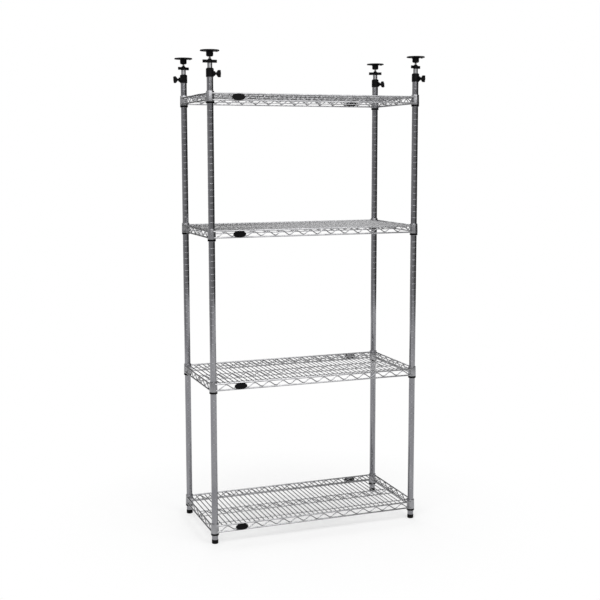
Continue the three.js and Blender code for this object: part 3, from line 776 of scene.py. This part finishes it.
def makeShelfWires():  # the deck's wires, the bars under them, the waved wires and all the welds
    s = shelf
    inner = []
    stringerY, stringerZ = railY - s["stringerInset"], s["wireHeight"] - s["wire"] - s["stringer"] + s["stringerBite"]
    for y, z, radius, name in (
        (-stringerY, stringerZ, s["stringer"], "stringer"), (stringerY, stringerZ, s["stringer"], "stringer"),
        (0, s["midTop"], s["midRail"], "midRail"), (0, s["bottomRail"], s["midRail"], "midRail"),
    ):
        inner.append(bar(name, (-railX, y, z), (railX, y, z), radius, sides=s["barSides"]))
    wireCount = round((halfSpanX * 2 - s["wireMargin"] * 2) / s["wirePitch"]) + 1
    row = dict(Count=wireCount, Pitch=s["wirePitch"], Material=finishes["wire"])
    inner.append(grown("deckWires", wireRow, dict(row, Length=(railY - s["wireInset"]) * 2, Height=s["wireHeight"],
                                                  Radius=s["wire"])))
    x = (wireCount + 1) * s["wirePitch"] / 2  # the end wires stop in the corner collars' walls
    wall = collarBore(s["wireHeight"]) + s["collarWall"] / 2
    y = halfSpanY - math.sqrt(wall ** 2 - (halfSpanX - x) ** 2)
    for side in (-1, 1):
        inner.append(bar("endWire", (side * x, -y, s["wireHeight"]), (side * x, y, s["wireHeight"]), s["wire"],
                         sides=s["barSides"]))
    wave = dict(Pitch=s["wavePitch"], Bend=s["bend"], Radius=s["wave"], Material=finishes["wire"])
    wave["Weld Radius"] = s["weld"]

    def waveBetween(waves, high, rail):
        touch = rail + s["wave"] - s["waveBite"]
        return dict(wave, Waves=waves, Low=s["bottomRail"] + touch, High=high - touch)

    counts = [int(reach * 2 / s["wavePitch"]) for reach in (halfSpanX, halfSpanY, railX)]
    for side in (-1, 1):
        long = grown("longWave", wavedWire, waveBetween(counts[0], s["topRail"], s["rail"]))
        long.data.transform(Matrix.Translation((0, side * railY, 0)))
        end = grown("endWave", wavedWire, waveBetween(counts[1], s["topRail"], s["rail"]))
        end.data.transform(Matrix.Translation((side * railX, 0, 0)) @ spun(turn / 4, "Z"))
        inner += [long, end]
    inner.append(grown("midWave", wavedWire, waveBetween(counts[2], s["midTop"], s["midRail"])))
    for seed, y in enumerate((-stringerY, 0.0, stringerY)):
        inner.append(grown("deckWelds", weldRow, dict(
            row, Y=y, Height=s["wireHeight"] - s["wire"], Radius=s["deckWeld"], Flatness=s["deckWeldFlatness"],
            Seed=seed)))
    for seed, y in enumerate((s["rail"] - railY, railY - s["rail"]), s["railWeldSeed"]):
        inner.append(grown("railWelds", weldRow, dict(
            row, Y=y, Height=s["wireHeight"], Radius=s["railWeld"], Flatness=s["railWeldFlatness"], Seed=seed)))
    return joined("shelfWires", inner)


labelPlate = dict(width=53.0, height=27.5, thick=2.6, fromMiddle=330.0, centreHeight=24.6, gap=0.05, sides=48,
                  rimSteps=((1.0, 0.0), (1.0, 0.6), (0.97, 1.0), (0.9, 1.0), (0.86, 0.62)))


def makeLabelPlate():  # a bare oval plate with a raised rim
    p = labelPlate
    verts, faces, sides = [], [], p["sides"]
    for share, depth in p["rimSteps"]:
        inset = (1 - share) * p["height"] / 2
        for i in range(sides):
            a = turn * i / sides
            verts.append(((p["width"] / 2 - inset) * math.cos(a), -p["thick"] * depth,
                          (p["height"] / 2 - inset) * math.sin(a)))
    rings = len(p["rimSteps"])
    for k in range(rings - 1):
        for i in range(sides):
            j = (i + 1) % sides
            faces.append([k * sides + i, k * sides + j, (k + 1) * sides + j, (k + 1) * sides + i])
    faces += [list(range(sides)), list(range((rings - 1) * sides, rings * sides))]
    return meshObject("labelPlate", verts, faces)


shelfRails, shelfCollars = makeShelfFrame()
shelfWires, ovalPlate = makeShelfWires(), makeLabelPlate()
for level, height in enumerate(shelfHeights, 1):
    raised = Matrix.Translation((0, 0, height))
    settle(f"truss_{level}", shelfRails, raised, "root", "wire", [f"shelf_{level}"])
    settle(f"cornerCollars_{level}", shelfCollars, raised, "root", "collar", [f"shelf_{level}"])
    settle(f"wireDeck_{level}", shelfWires, raised, "root", "wire", [f"shelf_{level}"], 50)
    for side, name in ((-1, "front"), (1, "back")):
        out = railY + shelf["rail"] + labelPlate["gap"]
        place = raised @ Matrix.Translation((side * labelPlate["fromMiddle"], side * out,
                                             labelPlate["centreHeight"]))
        if side > 0:
            place = place @ spun(turn / 2, "Z")
        settle(f"ovalPlate_{level}_{name}", ovalPlate, place, "root", "plate")
print("shelves made")


# Clamp collar: cap over the post's top end, with a round boss for the wing bolt

clamp = dict(radius=15.3, footRound=0.8, topRound=6.5, skirt=1.0, lid=8.7, bossRoot=11.2, bossCheek=9.2,
             bossTip=5.2, bossReach=22.5, cheekReach=20.2, bite=4.0, gap=0.3, boreOver=2.0, holeStart=0.5,
             holeOver=3.0, voxel=0.55, softening=4)


def makeClampCollar():
    c = clamp
    skirtLow = clampLow - c["skirt"]
    shell = turned("clampShell", filleted([(0, skirtLow), (c["radius"], skirtLow, c["footRound"]),
                                           (c["radius"], clampHigh, c["topRound"]), (0, clampHigh)], False, 8), 64)
    root = c["radius"] - c["bite"]
    boss = turned("clampBoss", [(0, root), (c["bossRoot"], root), (c["bossCheek"], c["cheekReach"]),
                                (c["bossTip"], c["bossReach"]), (0, c["bossReach"])], 48)
    boss.data.transform(Matrix.Translation((0, 0, boltHeight)) @ spun(turn / 4, "Y"))
    body = moulded("clampCollar", [shell, boss], c["voxel"], c["softening"])
    ledge, wide, narrow = clampHigh - c["lid"], post["radius"] + c["gap"], pole["radius"] + c["gap"]
    start, end = skirtLow - c["boreOver"], clampHigh + c["boreOver"]
    bore = turned("clampBore", [(0, start), (wide, start), (wide, ledge), (narrow, ledge), (narrow, end), (0, end)],
                  64)
    hole = bar("clampHole", (c["holeStart"], 0, boltHeight), (c["bossReach"] + c["holeOver"], 0, boltHeight),
               bolt["radius"] + c["gap"], sides=24)
    return combined(combined(body, bore, "DIFFERENCE", "MANIFOLD"), hole, "DIFFERENCE", "MANIFOLD")


# Inner pole with its wider guide, and the hand nut on its end

pole = dict(radius=9.5, wall=1.2, guide=10.9, guideHeight=8.0, endRound=0.4)
nut = dict(radius=9.5, topRadius=6.6, height=16.4, shoulder=11.0, spigotGap=0.3, spigotChamfer=0.3, overlap=2.0,
           bore=4.8, armLift=0.9, armHeight=11.4, armReach=28.0, armTip=3.2, armHalf=4.8, armRound=2.6,
           armFillet=2.0, voxel=0.45, softening=4)


def makeInnerPole():
    r, guide, guideTop = pole["radius"], pole["guide"], poleLow + pole["guideHeight"]
    inside = r - pole["wall"]
    return turned("innerPole", filleted([
        (inside, poleLow, 0.2), (guide, poleLow, 0.5), (guide, guideTop, 0.5), (r, guideTop, 0.3),
        (r, poleHigh, pole["endRound"]), (inside, poleHigh, 0.2),
    ]), 40)


def makeNut():
    n = nut
    seat = nutHigh - n["height"]
    spigot = pole["radius"] - pole["wall"] - n["spigotGap"]
    body = turned("nutBody", filleted([
        (0, seat), (n["radius"], seat, 0.6), (n["radius"], seat + n["shoulder"], 2.0), (n["topRadius"], nutHigh, 1.6),
        (0, nutHigh)], False), 48)
    outline = []
    for x, y in ((-1, 1), (-1, -1), (1, -1), (1, 1)):
        tip = (x * n["armReach"], y * n["armTip"], n["armFillet"])
        cheek = (x * (n["armReach"] - n["armRound"]), y * n["armHalf"], n["armFillet"])
        outline += [cheek, tip] if x * y < 0 else [tip, cheek]
    arms = slab("nutArms", filleted(outline), seat + n["armLift"], seat + n["armLift"] + n["armHeight"])
    melted = moulded("handNut", [body, arms], n["voxel"], n["softening"])
    cut, over = n["spigotChamfer"], n["overlap"]
    stem = turned("nutStem", [(0, nutLow), (spigot - cut, nutLow), (spigot, nutLow + cut), (spigot, seat + over),
                              (0, seat + over)], 48)
    fused = combined(melted, stem, "UNION", "MANIFOLD")
    bore = bar("nutBore", (0, 0, nutLow - over), (0, 0, nutHigh + over), n["bore"], sides=40)
    return combined(fused, bore, "DIFFERENCE", "MANIFOLD")


# Jack screw and wing screw, both threaded rods

jack = dict(radius=4.5, depth=0.55, lead=1.5)
bolt = dict(radius=3.0, depth=0.35, lead=1.0, tipGap=0.15)


def threadedRod(name, values, length):
    return grown(name, thread, dict(Length=length, Radius=values["radius"], Depth=values["depth"],
                                    Lead=values["lead"], Material=finishes["screw"]))


def makeJackScrew():
    rod = threadedRod("jackScrew", jack, screwHigh - screwLow)
    rod.data.transform(Matrix.Translation((0, 0, screwLow)))
    return rod


def makeWingScrew():
    start = pole["radius"] + bolt["tipGap"]
    rod = threadedRod("wingScrew", bolt, boltEnd - start)
    rod.data.transform(Matrix.Translation((start, 0, boltHeight)) @ spun(turn / 4, "Y"))
    return rod


# Wing knob, lying along X on the bolt's line

knob = dict(neckStart=23.4, start=26.5, length=17.0, reach=14.0, root=5.0, rootRound=0.8, thick=6.4, hub=4.8,
            hubEnd=5.8, flare=0.36, corner=5.0, notch=0.45, notchDepth=0.2, notchRound=1.4, middleRound=2.0,
            bore=3.3, boreAhead=0.3, boreOver=2.0, voxel=0.4, softening=4)


def makeWingKnob():
    k = knob
    end = k["start"] + k["length"]
    flare = k["start"] + k["length"] * k["flare"]
    notch = k["reach"] * k["notch"]
    outline = filleted([
        (k["start"], k["root"], k["rootRound"]), (k["start"], -k["root"], k["rootRound"]),
        (flare, -k["reach"], k["corner"]), (end, -k["reach"], k["corner"]), (end, -notch, k["notchRound"]),
        (end - k["notchDepth"], 0, k["middleRound"]), (end, notch, k["notchRound"]),
        (end, k["reach"], k["corner"]), (flare, k["reach"], k["corner"])])
    wings = slab("knobWings", outline, -k["thick"] / 2, k["thick"] / 2)
    wings.data.transform(spun(turn / 4, "X"))
    hub = bar("knobHub", (k["neckStart"], 0, 0), (end - k["notchDepth"], 0, 0), k["hub"], k["hubEnd"], 40)
    melted = moulded("wingKnob", [wings, hub], k["voxel"], k["softening"])
    bore = bar("knobBore", (k["neckStart"] - k["boreOver"], 0, 0), (boltEnd + k["boreAhead"], 0, 0), k["bore"],
               sides=32)
    return combined(melted, bore, "DIFFERENCE", "MANIFOLD")


# Ceiling pad with its hub and four small bosses, and its rubber

pad = dict(radius=37.5, thick=2.7, hub=13.8, hubChamfer=3.5, boss=3.6, bossDrop=2.6, bossPlace=28.0, bosses=4,
           bore=4.8, boreDepth=14.3, edge=0.8, rubber=36.5)


def makeCeilingPad():
    p = pad
    plateLow = padHigh - p["thick"]
    disc = turned("padDisc", filleted([
        (0, padLow + p["boreDepth"]), (p["bore"], padLow + p["boreDepth"], 0.3), (p["bore"], padLow, 0.3),
        (p["hub"] - p["hubChamfer"], padLow, 0.6), (p["hub"], padLow + p["hubChamfer"], 0.9),
        (p["hub"], plateLow, 1.2), (p["radius"], plateLow, p["edge"]), (p["radius"], padHigh, 0.5),
        (p["radius"] - 3, padHigh), (0, padHigh),
    ], False, 5), 72)
    parts = [disc]
    for i in range(p["bosses"]):
        angle = turn * i / p["bosses"]
        boss = turned("padBoss", filleted([(0, plateLow - p["bossDrop"]), (p["boss"], plateLow - p["bossDrop"], 0.9),
                                           (p["boss"], plateLow + 1), (0, plateLow + 1)], False), 24)
        boss.data.transform(spun(angle, "Z") @ Matrix.Translation((p["bossPlace"], 0, 0)))
        parts.append(boss)
    return joined("ceilingPad", parts)


def makePadRubber():
    r = pad["rubber"]
    return turned("padRubber", filleted([(0, rubberLow), (r, rubberLow, 0.4), (r, rubberHigh, 0.5),
                                         (0, rubberHigh)], False), 72)


jackPieces = dict(clampCollar=makeClampCollar(), innerPole=makeInnerPole(), handNut=makeNut(),
                  jackScrew=makeJackScrew(), wingScrew=makeWingScrew(), wingKnob=makeWingKnob(),
                  ceilingPad=makeCeilingPad(), padRubber=makePadRubber())
for corner in cornerNames:
    place = cornerPlace(corner)
    nutPlace = place @ spun(math.radians(cornerSet[corner]["nut"]), "Z")
    knobTurn = spun(math.radians(cornerSet[corner]["knob"]), "X")
    knobPlace = place @ Matrix.Translation((0, 0, boltHeight)) @ knobTurn
    for kind, spot, body, finish, node, sharp in (
        ("clampCollar", place, "root", "plastic", "clamp_collar_", 38),
        ("innerPole", place, "pole_" + corner, "pole", "inner_pole_", 32),
        ("handNut", nutPlace, "nut_" + corner, "plastic", "jack_nut_", 38),
        ("jackScrew", place, "pad_" + corner, "screw", "jack_screw_", 50),
        ("wingScrew", place, "bolt_" + corner, "screw", "wing_screw_", 50),
        ("wingKnob", knobPlace, "knob_" + corner, "plastic", "wing_knob_", 38),
        ("ceilingPad", place, "pad_" + corner, "plastic", "ceiling_pad_", 32),
        ("padRubber", place, "pad_" + corner, "rubber", "pad_rubber_", 32),
    ):
        settle(f"{kind}_{corner}", jackPieces[kind], spot, body, finish, [node + corner], sharp)
print("jacks made")

for source in (postTube, footCap, splitSleeve, shelfRails, shelfCollars, shelfWires, ovalPlate,
               *jackPieces.values()):
    bpy.data.objects.remove(source)
